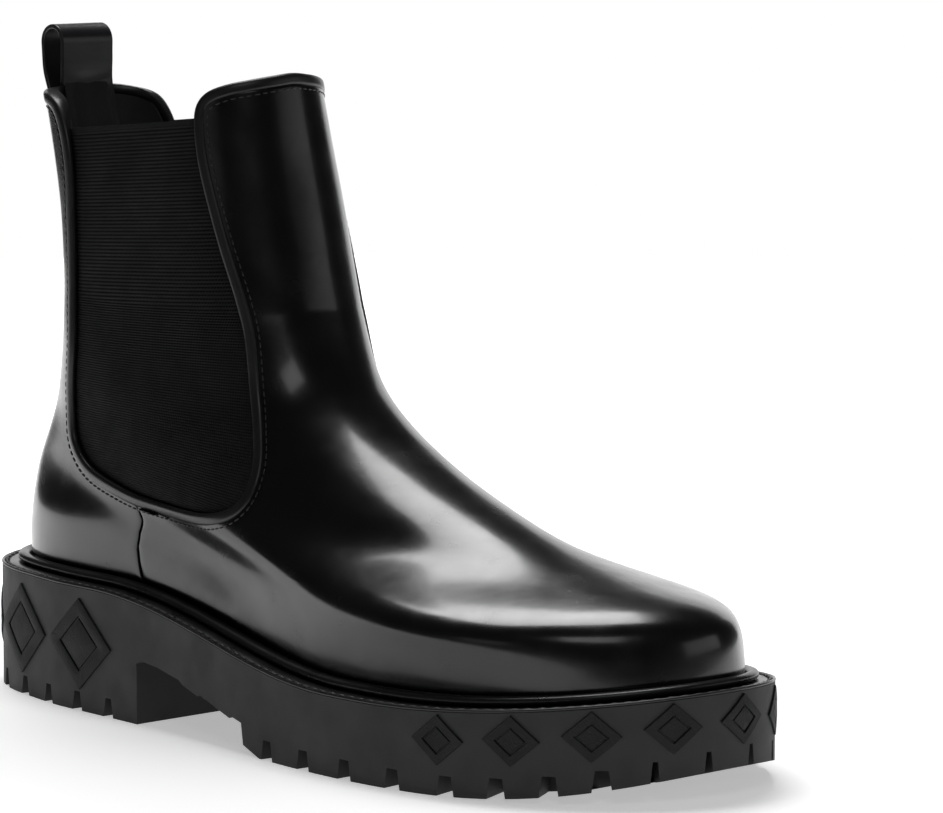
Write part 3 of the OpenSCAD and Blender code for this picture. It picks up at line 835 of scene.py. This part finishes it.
    def _wedge(self, bm: bmesh.types.BMesh, side: int, way: float, top: float, bottom: float) -> None:
        """Adds one slot cutter, wider at the bottom, that runs in from the outline."""
        angle = self.angle_at(side, way)
        rim, foot = LAST.rim(angle, self.ledge), LAST.rim(angle, 0.0)
        turn = math.atan2(rim[1] - foot[1], rim[0] - foot[0])
        low = float(self.ground(rim[0]))
        verts = bmesh.ops.create_cube(bm, size=1.0)["verts"]
        for v in verts:
            wide = top if v.co.z > 0 else bottom * 1.15
            v.co = (
                -self.slot_reach if v.co.x < 0 else 5.0,
                wide / 2 * (1 if v.co.y > 0 else -1),
                low + self.slot_h if v.co.z > 0 else low - 1.5,
            )
        move = Matrix.Translation((rim[0], rim[1], 0.0)) @ Matrix.Rotation(turn, 4, "Z")
        bmesh.ops.transform(bm, matrix=move, verts=verts)

    def _studs(self) -> bpy.types.Object:
        """Returns the raised lozenge frames round the toe and the heel."""
        bm = bmesh.new()
        wide, high, under = self.toe_stud
        for k in range(-4, 5):
            way = k * self.toe_pitch
            x = LAST.rim(self.angle_at(-1, way), self.ledge)[0]
            self._lozenge(bm, way, float(LAST.lift(x)) - under, wide, high, 0.27)
        wide, high, middle = self.heel_stud
        for side in (-1, 1):
            for back in self.heel_studs:
                way = self.half_length(-1) - side * back
                self._lozenge(bm, way, middle, wide, high, 0.24)
        studs = new_object("relief_studs", bm)
        studs.data.set_sharp_from_angle(angle=math.radians(self.crease))
        return studs

    def _lozenge(
        self, bm: bmesh.types.BMesh, way: float, z: float, wide: float, high: float, frame_w: float
    ) -> None:
        """Adds one lozenge frame and the flat stud inside it, bent round the outline.

        Args:
            bm: The bmesh that takes them.
            way: Distance of the middle from the toe, along the outer side.
            z: Height of the middle.
            wide: Width of the frame.
            high: Height of the frame.
            frame_w: Width of the frame's border as a share of its half width.
        """
        hole = 1 - frame_w * 1.6
        frame_rows = np.array(
            [(1.0, -0.3), (1.0, 0.5), (0.975, 0.65), (hole + 0.03, 0.65), (hole, 0.5), (hole, -0.3)]
        )
        stud_rows = np.array([(hole - 0.07, -0.3), (hole - 0.07, 0.35), (hole - 0.11, 0.5), (0.0, 0.5)])
        corners = np.array([(1, 0), (0, 1), (-1, 0), (0, -1)], float)

        def bent(rows: np.ndarray, row: np.ndarray, u: np.ndarray) -> Points:
            turn = u * 4
            corner = np.floor(turn).astype(int) % 4
            f = (turn - np.floor(turn))[:, None]
            spot = corners[corner] * (1 - f) + corners[(corner + 1) % 4] * f
            a = -spot[:, 0] * rows[row, 0] * wide / 2
            b = spot[:, 1] * rows[row, 0] * high / 2
            plan = LAST.rim(self.angle_at(-1, way + a), self.ledge + rows[row, 1])
            return np.column_stack([plan, z + b])

        count = len(frame_rows)
        add_grid(
            bm, 32, count, lambda u, v: bent(frame_rows, np.round(v * count).astype(int) % count, u),
            closed=True,
        )
        add_grid(
            bm, 16, 3, lambda u, v: bent(stud_rows, np.round(v * 3).astype(int), u), closed=True
        )

    def _ring(self, name: str, profile: Iterable[tuple[float, float]], count: int = 420) -> bpy.types.Object:
        """Returns a closed ring along the feather line.

        Args:
            name: Name of the piece.
            profile: Distance outside the feather line and height over the welt's top, in order
                round the section so that its outside faces out.
            count: Number of faces along the ring.

        Returns:
            The new piece.
        """
        points = np.array(list(profile))
        sides = len(points)

        def place(u: np.ndarray, v: np.ndarray) -> Points:
            row = np.round(v * sides).astype(int) % sides
            return LAST.ledge(u * 360, points[row, 0], points[row, 1])

        return grid_piece(name, count, sides, place, (700.0, 12.0), closed=True)

    def _welt(self) -> None:
        """Models the welt, with a groove for its stitches and a rounded lip."""
        out = self.ledge
        wall = out - self.cup_wall - 0.05
        low = 0.05 - self.welt_t
        profile = (
            (-8.0, low), (wall, low), (wall, 0.1 - self.lip), (out - 0.1, 0.1 - self.lip),
            (out + 0.15, 0.3 - self.lip), (out + 0.2, -0.15), (out, 0.18), (out - 0.35, 0.26),
            (out - 0.7, 0.12), (out - 0.9, -0.3), (out - 1.3, -0.65), (out - 2.0, -0.65),
            (out - 2.5, -0.3), (out - 2.9, 0.0), (4.6, 0.0), (-8.0, 0.0),
        )
        welt = self._ring("welt_strip", profile)
        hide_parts("welt")
        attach(welt, "boot")
        self.dresser.dress(welt, WELT_RUBBER, "welt_rubber")

    def _bead(self) -> None:
        """Models the rounded bead that hides the joint between upper and welt."""
        turns = np.radians(np.linspace(0, 360, 17)[:-1] - 90)
        profile = [
            (0.4 + self.bead_w / 2 * (1 + math.cos(a)), 0.05 + self.bead_h / 2 * (1 + math.sin(a)))
            for a in turns
        ]
        bead = self._ring("rand_bead", profile)
        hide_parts("rand")
        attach(bead, "boot")
        self.dresser.dress(bead, WELT_RUBBER, "welt_rubber")

    def _welt_stitches(self) -> None:
        """Lays the stitches in the welt's groove."""
        turns = np.linspace(0, 360, 721)
        line = LAST.ledge(turns, self.ledge - 1.55, -0.1)
        normals = np.tile((0.0, 0.0, 1.0), (len(turns), 1))
        stitches = Stitching(3.8, 3.1, 0.95).piece("welt_stitches", [(line, normals)])
        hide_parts("welt_stitching")
        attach(stitches, "boot")
        self.dresser.dress(stitches, WELT_THREAD, "thread")

    def _footbed(self) -> None:
        """Models the padded footbed: crowned, with a rolled edge all round."""
        def place(u: np.ndarray, v: np.ndarray) -> Points:
            turn = np.pi * 2 * v
            angle = 3 + 174 * u
            a, b = LAST.rim(angle, -5.5), LAST.rim(-angle, -5.5)
            share = (1 - np.sign(np.cos(turn)) * np.abs(np.cos(turn)) ** 0.35) / 2
            plan = a * (1 - share)[:, None] + b * share[:, None]
            rise = np.sign(np.sin(turn)) * np.abs(np.sin(turn)) ** 0.6
            crown = 0.5 * np.sin(np.pi * u) ** 0.5
            z = LAST.lift(plan[:, 0]) + 4.0 + 1.45 * rise * (0.35 + 0.65 * crown * 2)
            return np.column_stack([plan, z])

        bm = bmesh.new()
        add_grid(bm, 90, 28, place, (260.0, 90.0))
        bmesh.ops.remove_doubles(bm, verts=bm.verts, dist=1e-3)
        bmesh.ops.holes_fill(bm, edges=[e for e in bm.edges if e.is_boundary], sides=0)
        bmesh.ops.recalc_face_normals(bm, faces=bm.faces)
        pad = new_object("footbed_pad", bm)
        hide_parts("footbed")
        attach(pad, "boot")
        self.dresser.dress(pad, FOAM, "lining_leather")


# ---------------------------------------------------------------- the upper


@dataclass
class Upper:
    """The leather, elastic and lining panels, with their bindings and seams."""

    dresser: Dresser
    leather_t: float = 1.4
    middle_out: float = -1.75
    middle_t: float = 1.0
    lining_out: float = -3.0
    lining_t: float = 0.9
    front_end: float = 3.2
    quarter_end: float = 30.6
    gore_tuck: float = 5.0
    rib_pitch: float = 1.05
    hinge: tuple = (-0.0126, -0.0006, 0.131)
    hinge_end: tuple = (-0.0021, -0.0006, 0.1548)
    seam: tuple = ((0.4, 115.3), (6, 115.8), (12, 116.2), (18, 116.4), (24, 115.6), (30, 113.6))

    def build(self) -> None:
        """Builds every panel and trim of the upper, from the lining outwards."""
        self._linings()
        self._gores()
        self._leathers()
        self._binding()
        self._stitches()
        for node in ("toe_puff", "heel_counter"):
            self.dresser.dress(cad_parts[node], STIFFENER)

    def _bend(self, obj: bpy.types.Object) -> None:
        """Bakes the piece's placement into its mesh."""
        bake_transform(obj)

    def _side_line(
        self, away: float, last_t: float, knots: tuple, shift: float = 0.0
    ) -> tuple[np.ndarray, np.ndarray, np.ndarray, np.ndarray]:
        """Measures the edge of a panel from the feather line up to its top corner.

        Args:
            away: Distance of the panel's edge from the top line.
            last_t: Where on the top line the side ends.
            knots: Pairs of t and the height of the same row at the panel's middle line.
            shift: Degrees that the seam is moved towards the heel.

        Returns:
            The share of the way along the side, the heights and angles there, and the heights of
            the rows at the middle line.
        """
        t = np.linspace(EDGE.seam_top, last_t, 300)
        height, angle = EDGE.beside(t, away)
        low = np.array(self.seam, float)
        seam_h = np.linspace(low[0, 0], low[-1, 0], 40)
        seam_a = np.interp(seam_h, low[:, 0], low[:, 1]) + shift
        knot = np.array(sorted(knots), float)
        middle = np.interp(t, knot[:, 0], knot[:, 1])
        first = float(np.interp(EDGE.seam_top, knot[:, 0], knot[:, 1]))
        seam_m = seam_h * (first - 3) / seam_h[-1]
        h = np.concatenate([seam_h, height])
        a = np.concatenate([seam_a, angle])
        m = np.concatenate([seam_m, middle])
        way = length_along(LAST.surface(h, a))
        return way / way[-1], h, a, m

    def _panel_places(
        self, away: float, last_t: float, front: bool, u: np.ndarray, v: np.ndarray
    ) -> tuple[np.ndarray, np.ndarray, np.ndarray]:
        """Gives the places of a panel that spans both sides of the boot.

        Args:
            away: Distance of the panel's edge from the top line.
            last_t: Where on the top line the side edge turns into the top edge.
            front: True for the front panel, False for the quarter.
            u: Share from one side edge to the other.
            v: Share from the feather line to the top.

        Returns:
            The heights, the angles, and how far each place is from the nearest side edge, as a
            share of the half panel.
        """
        if front:
            knots = ((18.1, 27), (15.2, 42), (14.1, 50), (12.9, 61), (11.2, 85), (8.35, 130.8), (3.2, 180.9))
            share, height, angle, middle = self._side_line(away, last_t, knots)
        else:
            knots = ((18.1, 34), (21.1, 61), (24.0, 100), (27.7, 148.5), (30.6, 173.1), (30.7, 173.2))
            share, height, angle, middle = self._side_line(away, last_t, knots, shift=0.36)
        s = 2 * u - 1
        s = np.sign(s) * (1 - (1 - np.abs(s)) ** 1.5)
        h_side = np.interp(v, share, height)
        a_side = np.interp(v, share, angle)
        h_mid = np.interp(v, share, middle)
        h = h_mid + (h_side - h_mid) * s * s
        a = a_side * s if front else 180 + (180 - a_side) * s
        top = ease((v - 0.88) / 0.12)
        if front:
            top_h, top_a = EDGE.beside(s * last_t, away)
        else:
            top_h, top_a = EDGE.beside(EDGE.end + s * (EDGE.end - last_t), away)
        h_end = np.interp(1.0, share, middle) + (height[-1] - middle[-1]) * s * s
        a_end = angle[-1] * s if front else 180 + (180 - angle[-1]) * s
        return h + (top_h - h_end) * top, a + (top_a - a_end) * top, 1 - np.abs(s)

    def _relief(self, points: Points) -> np.ndarray:
        """Returns the soft unevenness of lasted leather at those points, in millimetres."""
        draw = np.random.default_rng(7)
        total = np.zeros(len(points))
        for wave in (46.0, 34.0, 27.0, 21.0, 16.0):
            way = unit(draw.normal(size=3))
            total += np.sin(points @ way * 2 * np.pi / wave + draw.uniform(0, 6.28)) * wave
        return total / 46.0 * 0.05

    def _panel(
        self, name: str, front: bool, away: float, cells: tuple[int, int], out: Drape, wall: float
    ) -> bpy.types.Object:
        """Models one panel that spans both sides of the boot.

        Args:
            name: Name of the piece.
            front: True for a front panel, False for one at the back.
            away: Distance of its edge from the top line.
            cells: Number of faces across and up.
            out: Gives the distance out from the last for arrays of height, angle, share of the half
                panel in from its side edge, and v.
            wall: Its thickness.

        Returns:
            The new piece.
        """
        last_t = self.front_end if front else self.quarter_end

        def place(u: np.ndarray, v: np.ndarray) -> Points:
            h, a, inside = self._panel_places(away, last_t, front, u, v)
            return LAST.skin(h, a, out(h, a, inside, v))

        panel = grid_piece(name, *cells, place, (300.0, 200.0))
        thicken(panel, wall)
        if front:
            self._bend(panel)
        else:
            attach(panel, "boot")
        return panel

    def _drape(self, h: np.ndarray, a: np.ndarray, inside: np.ndarray, v: np.ndarray) -> np.ndarray:
        """Returns how far the leather lies off the last: tucked in at the feather line, uneven above."""
        waist = ease((np.abs(a) - 62) / 30)
        tuck = -(0.5 + 1.1 * waist) * np.maximum(0, (2.2 + 2.6 * waist - h) / 3.6) ** 2
        roll = -0.25 * np.exp(-inside * 130 / 0.5) * (v < 0.4)
        return tuck + roll + self._relief(LAST.surface(h, a))

    def _leathers(self) -> None:
        """Models the polished front panel, from toe to shaft, and the quarter behind it."""
        for name, front, cells, nodes in (
            ("front_panel", True, (132, 232), ("vamp", "front_shaft")),
            ("quarter_panel", False, (110, 190), ("quarter",)),
        ):
            panel = self._panel(name, front, 2.6, cells, self._drape, self.leather_t)
            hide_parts(*nodes)
            self.dresser.dress(panel, POLISHED, "polished_leather")

    def _linings(self) -> None:
        """Models the two lining panels."""
        def smooth(h: np.ndarray, *_: np.ndarray) -> np.ndarray:
            return np.full(len(h), self.lining_out)

        for name, front, nodes in (
            ("front_lining", True, ("vamp_lining", "front_shaft_lining")),
            ("back_lining", False, ("quarter_lining",)),
        ):
            lining = self._panel(name, front, 2.4, (64, 110), smooth, self.lining_t)
            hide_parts(*nodes)
            self.dresser.dress(lining, LINING, "lining_leather")

    def _gores(self) -> None:
        """Models the two elastic gores, rib by rib."""
        low_t = EDGE.gore_low
        front_t = np.linspace(low_t - 0.4, EDGE.gore_top_front, 200)
        rear_t = np.linspace(low_t + 0.4, EDGE.gore_top_rear, 200)
        front_h, front_a = EDGE.beside(front_t, self.gore_tuck)
        rear_h, rear_a = EDGE.beside(rear_t, self.gore_tuck)
        front_h, rear_h = np.maximum.accumulate(front_h), np.maximum.accumulate(rear_h)
        bottom = max(front_h[0], rear_h[0]) + 0.1
        top_front, top_rear = front_h[-1], rear_h[-1]
        ribs = int((max(top_front, top_rear) - bottom) / self.rib_pitch)
        for name, side, node in (("gore_outer", -1, "gore_lateral"), ("gore_inner", 1, "gore_medial")):
            def place(u: np.ndarray, v: np.ndarray, side: int = side) -> Points:
                s = 1 - u if side < 0 else u
                h_front = bottom + (top_front - bottom) * v
                h_rear = bottom + (top_rear - bottom) * v
                a = np.interp(h_front, front_h, front_a) * (1 - s) + np.interp(h_rear, rear_h, rear_a) * s
                h = h_front * (1 - s) + h_rear * s
                rib = np.sin(np.pi * ((v * ribs) % 1.0)) ** 0.7
                hem = ease((v - 0.988) / 0.004) * 0.3
                out = self.middle_out - 0.32 + 0.3 * rib * (v < 0.99) + hem
                return LAST.skin(h, a * side, out)

            gore = grid_piece(name, 26, ribs * 4, place, (70.0, 135.0))
            thicken(gore, self.middle_t - 0.3)
            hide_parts(node)
            self._bend(gore)
            self.dresser.dress(gore, ELASTIC, "elastic")

    def _binding(self) -> None:
        """Models the binding folded over the leather's edge, one strip all the way round."""
        profile = np.array([
            (3.05, -0.35), (3.1, 0.1), (2.9, 0.42), (2.2, 0.52), (1.4, 0.55), (0.7, 0.5), (0.2, 0.28),
            (-0.12, -0.15), (-0.2, -0.75), (0.05, -1.3), (0.6, -1.5), (2.6, -1.5), (3.0, -1.2),
        ])
        sides = len(profile)
        inner = profile[:, 1] < -1.0

        def place(u: np.ndarray, v: np.ndarray) -> Points:
            t = (2 * u - 1) * EDGE.end
            row = np.round(v * sides).astype(int) % sides
            size = np.abs(t)
            deep = 1 - ease((size - 4.5) / 0.8) * (1 - ease((size - 27.2) / 2.6))
            out = profile[row, 1] - 2.75 * deep * inner[row]
            h, a = EDGE.beside(t, profile[row, 0])
            return LAST.skin(h, a, out)

        binding = grid_piece("edge_binding", 700, sides, place, (720.0, 12.0), closed=True)
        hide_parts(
            "gore_binding_lateral", "gore_binding_medial", "front_binding", "collar_binding"
        )
        self._bend(binding)
        self.dresser.dress(binding, BINDING, "binding_leather")

    def _stitches(self) -> None:
        """Sews along the binding."""
        for name, first, last, nodes in (
            ("edge_stitches", -EDGE.gore_top_rear, EDGE.gore_top_rear,
             ("gore_stitching_lateral", "gore_stitching_medial", "front_stitching")),
            ("collar_stitches", EDGE.gore_top_rear + 0.1, 2 * EDGE.end - EDGE.gore_top_rear - 0.1,
             ("collar_stitching",)),
        ):
            t = np.linspace(first, last, 1200)
            h, a = EDGE.beside(t, 4.3)
            line = LAST.skin(h, a, np.full(len(t), 0.12))
            normals = line - LAST.surface(h, a)
            stitches = Stitching(2.3, 1.75, 0.5, 0.05).piece(name, [(line, normals)])
            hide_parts(*nodes)
            if name == "edge_stitches":
                self._bend(stitches)
            else:
                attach(stitches, "boot")
            self.dresser.dress(stitches, THREAD, "thread")


# ---------------------------------------------------------------- the pull strap


@dataclass
class PullStrap:
    """The strap that stands up from the heel as a loop, sewn outside and inside the collar."""

    dresser: Dresser
    width: float = 19.0
    thickness: float = 1.4
    outer: float = 1.45
    inner: float = -4.75
    low: float = 157.8
    tab_top: float = 175.8
    root_x: float = -121.6
    arch_z: float = 189.9
    arch_r: float = 4.6
    cover_out: float = -5.9
    heel_r: float = 34.0
    crease: float = 50.0

    def _path(self) -> Points:
        """Returns the strap's middle line in side view, from the outer end over to the inner."""
        heights = np.linspace(self.low, self.tab_top, 12)
        legs = []
        for out in (self.outer, self.inner):
            leg = LAST.skin(heights, np.full(12, 180.0), np.full(12, out))
            legs.append(leg[:, ::2])
        turns = np.radians(np.linspace(200, -20, 23))
        arch = np.column_stack([
            self.root_x + self.arch_r * np.cos(turns), self.arch_z + self.arch_r * np.sin(turns)
        ])
        rise = []
        for start, end, bow in ((legs[0][-1], arch[0], -0.5), (arch[-1], legs[1][-1], 0.5)):
            s = np.linspace(0, 1, 9)[1:-1, None]
            bend = np.column_stack([bow * np.sin(np.pi * s[:, 0]), np.zeros(7)])
            rise.append(start + (end - start) * s + bend)
        line = np.concatenate([legs[0], rise[0], arch, rise[1], legs[1][::-1]])
        for _ in range(3):
            line[1:-1] = (line[:-2] + 2 * line[1:-1] + line[2:]) / 4
        return line

    def build(self) -> None:
        """Builds the strap, the patch over its inner end and its stitches."""
        path = self._path()
        way = length_along(path)
        share = way / way[-1]

        def place(u: np.ndarray, v: np.ndarray) -> Points:
            x = np.interp(v, share, path[:, 0])
            z = np.interp(v, share, path[:, 1])
            y = (0.5 - u) * self.width
            wrap = 1 - 0.85 * ease((z - self.tab_top + 2) / 9)
            x = x + wrap * y * y / (2 * self.heel_r)
            return np.column_stack([x, LAST.heel_y + y, z])

        strap = grid_piece("pull_strap", 16, 150, place, (self.width, float(way[-1])))
        thicken(strap, self.thickness, offset=0.0)
        round_edges(strap, 0.4, self.crease)
        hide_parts("pull_loop", "pull_tab_outer")
        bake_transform(strap)
        self.dresser.dress(strap, STRAP, "strap")
        self._cover()
        self._tab_stitches()

    def _cover(self) -> None:
        """Models the lining patch that hides the strap's inner end."""
        def place(u: np.ndarray, v: np.ndarray) -> Points:
            half = math.degrees((self.width / 2 + 1.2) / (self.heel_r - 4))
            h = self.low - 3 + (self.tab_top + 0.6 - self.low + 3) * v
            edge = 1.0 - ease((np.abs(2 * u - 1) - 0.86) / 0.14)
            return LAST.skin(h, 180 - half + 2 * half * u, self.cover_out * edge - 4.6 * (1 - edge))

        cover = grid_piece("strap_cover", 24, 20, place, (22.0, 20.0))
        thicken(cover, 0.7, offset=1.0)
        round_edges(cover, 0.2, self.crease)
        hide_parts("pull_tab_inner")
        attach(cover, "boot")
        self.dresser.dress(cover, LINING, "strap")

    def _tab_stitches(self) -> None:
        """Sews the outer end down with a box of stitches."""
        half = math.degrees((self.width / 2 - 2) / self.heel_r)
        low, high = self.low + 2.5, self.tab_top - 7
        corners = ((low, 180 - half), (high, 180 - half), (high, 180 + half), (low, 180 + half))
        rows = []
        for k in range(4):
            a, b = np.array(corners[k]), np.array(corners[(k + 1) % 4])
            spots = a + (b - a) * np.linspace(0, 1, 30)[:, None]
            line = LAST.skin(spots[:, 0], spots[:, 1], np.full(30, self.outer + self.thickness / 2))
            normals = line - LAST.surface(spots[:, 0], spots[:, 1])
            rows.append((line, normals))
        stitches = Stitching(2.2, 1.7, 0.5).piece("pull_strap_stitches", rows)
        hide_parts("pull_tab_stitching")
        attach(stitches, "boot")
        self.dresser.dress(stitches, THREAD, "thread")


# ---------------------------------------------------------------- the studio


@dataclass(frozen=True)
class SoftLight:
    """One rectangular studio light that looks at the boot."""

    name: str
    place: tuple[float, float, float]
    size: tuple[float, float]
    power: float
    aim: tuple[float, float, float] = (0.0, 0.0, 0.09)

    def build(self) -> None:
        """Adds the light to the scene."""
        data = bpy.data.lights.new(self.name, "AREA")
        data.shape = "RECTANGLE"
        data.size, data.size_y = self.size
        data.energy = self.power
        lamp = bpy.data.objects.new(self.name, data)
        bpy.context.scene.collection.objects.link(lamp)
        lamp.location = self.place
        lamp.visible_camera = False
        lamp.rotation_mode = "QUATERNION"
        lamp.rotation_quaternion = (Vector(self.aim) - Vector(self.place)).to_track_quat("-Z", "Y")


@dataclass
class Studio:
    """The pale floor, the soft lights and the camera."""

    azimuth: float = 46.61
    elevation: float = 6.91
    distance: float = 1.4
    target: tuple[float, float, float] = (0.00302, 0.04218, 0.08838)
    lens: float = 187.06
    floor_r: float = 900.0
    floor_middle: tuple[float, float] = (-430.0, 410.0)
    lights: tuple[SoftLight, ...] = (
        SoftLight("overhead_light", (-0.48, 0.3, 1.45), (0.8, 0.85), 17.0),
        SoftLight("toe_light", (1.05, -0.9, 1.2), (0.7, 0.55), 2.2),
        SoftLight("right_light", (1.55, 0.95, 0.45), (1.6, 0.6), 2.0),
        SoftLight("backdrop_light", (-1.25, 1.45, 0.4), (2.0, 0.9), 7.0),
        SoftLight("front_light", (0.2, -1.9, 0.35), (0.7, 0.45), 0.3),
    )
    gloom: float = 0.02

    def build(self) -> None:
        """Builds the studio."""
        self._floor()
        for light in self.lights:
            light.build()
        self._world()
        self._camera()

    def _floor(self) -> None:
        """Lays the round pale table, which glows to white towards its rim."""
        bm = bmesh.new()
        middle = Matrix.Translation((*self.floor_middle, 0.0))
        bmesh.ops.create_circle(bm, cap_ends=True, segments=128, radius=self.floor_r, matrix=middle)
        floor = new_object("studio_floor", bm, smooth=False)
        material = bpy.data.materials.new("studio_paper")
        material.use_nodes = True
        tree = material.node_tree
        shader = tree.nodes["Principled BSDF"]
        set_inputs(shader, {
            "Base Color": (0.93, 0.93, 0.93, 1.0),
            "Roughness": 0.9,
            "Specular IOR Level": 0.2,
            "Emission Color": WHITE,
        })
        place = add_node(tree, "ShaderNodeTexCoord")
        length = add_node(
            tree, "ShaderNodeVectorMath", {"operation": "LENGTH"}, None, {0: place.outputs["Object"]}
        )
        glow = add_node(
            tree, "ShaderNodeMapRange", {"interpolation_type": "SMOOTHSTEP"},
            {"From Min": 0.1, "From Max": 0.4, "To Min": 0.42, "To Max": 0.9},
            {"Value": length.outputs["Value"]},
        )
        tree.links.new(glow.outputs["Result"], shader.inputs["Emission Strength"])
        floor.data.materials.append(material)

    def _world(self) -> None:
        """Sets a white backdrop behind the table in an otherwise dim room."""
        world = bpy.data.worlds.new("studio")
        world.use_nodes = True
        tree = world.node_tree
        room = tree.nodes["Background"]
        set_inputs(room, {"Color": WHITE, "Strength": self.gloom})
        backdrop = add_node(tree, "ShaderNodeBackground", None, {"Color": WHITE, "Strength": 1.0})
        path = add_node(tree, "ShaderNodeLightPath")
        mix = add_node(tree, "ShaderNodeMixShader", None, None, {
            "Fac": path.outputs["Is Camera Ray"],
            1: room.outputs["Background"],
            2: backdrop.outputs["Background"],
        })
        tree.links.new(mix.outputs["Shader"], tree.nodes["World Output"].inputs["Surface"])
        bpy.context.scene.world = world
        bpy.context.scene.view_settings.view_transform = "Standard"

    def _camera(self) -> None:
        """Places the camera on its arc round the boot."""
        a, e = math.radians(self.azimuth), math.radians(self.elevation)
        back = Vector((math.sin(a) * math.cos(e), -math.cos(a) * math.cos(e), math.sin(e)))
        data = bpy.data.cameras.new("camera")
        data.lens = self.lens
        data.sensor_width = 36.0
        camera = bpy.data.objects.new("camera", data)
        bpy.context.scene.collection.objects.link(camera)
        camera.location = Vector(self.target) + back * self.distance
        camera.rotation_mode = "QUATERNION"
        camera.rotation_quaternion = (-back).to_track_quat("-Z", "Y")
        bpy.context.scene.camera = camera


def main() -> None:
    """Builds the boot from the sole up, then the studio round it."""
    logging.basicConfig(level=logging.INFO, format="%(name)s: %(message)s")
    dresser = Dresser({})
    for part in (Sole(dresser), Upper(dresser), PullStrap(dresser), Studio()):
        part.build()
        log.info("built %s", type(part).__name__)


if __name__ == "__main__":
    main()
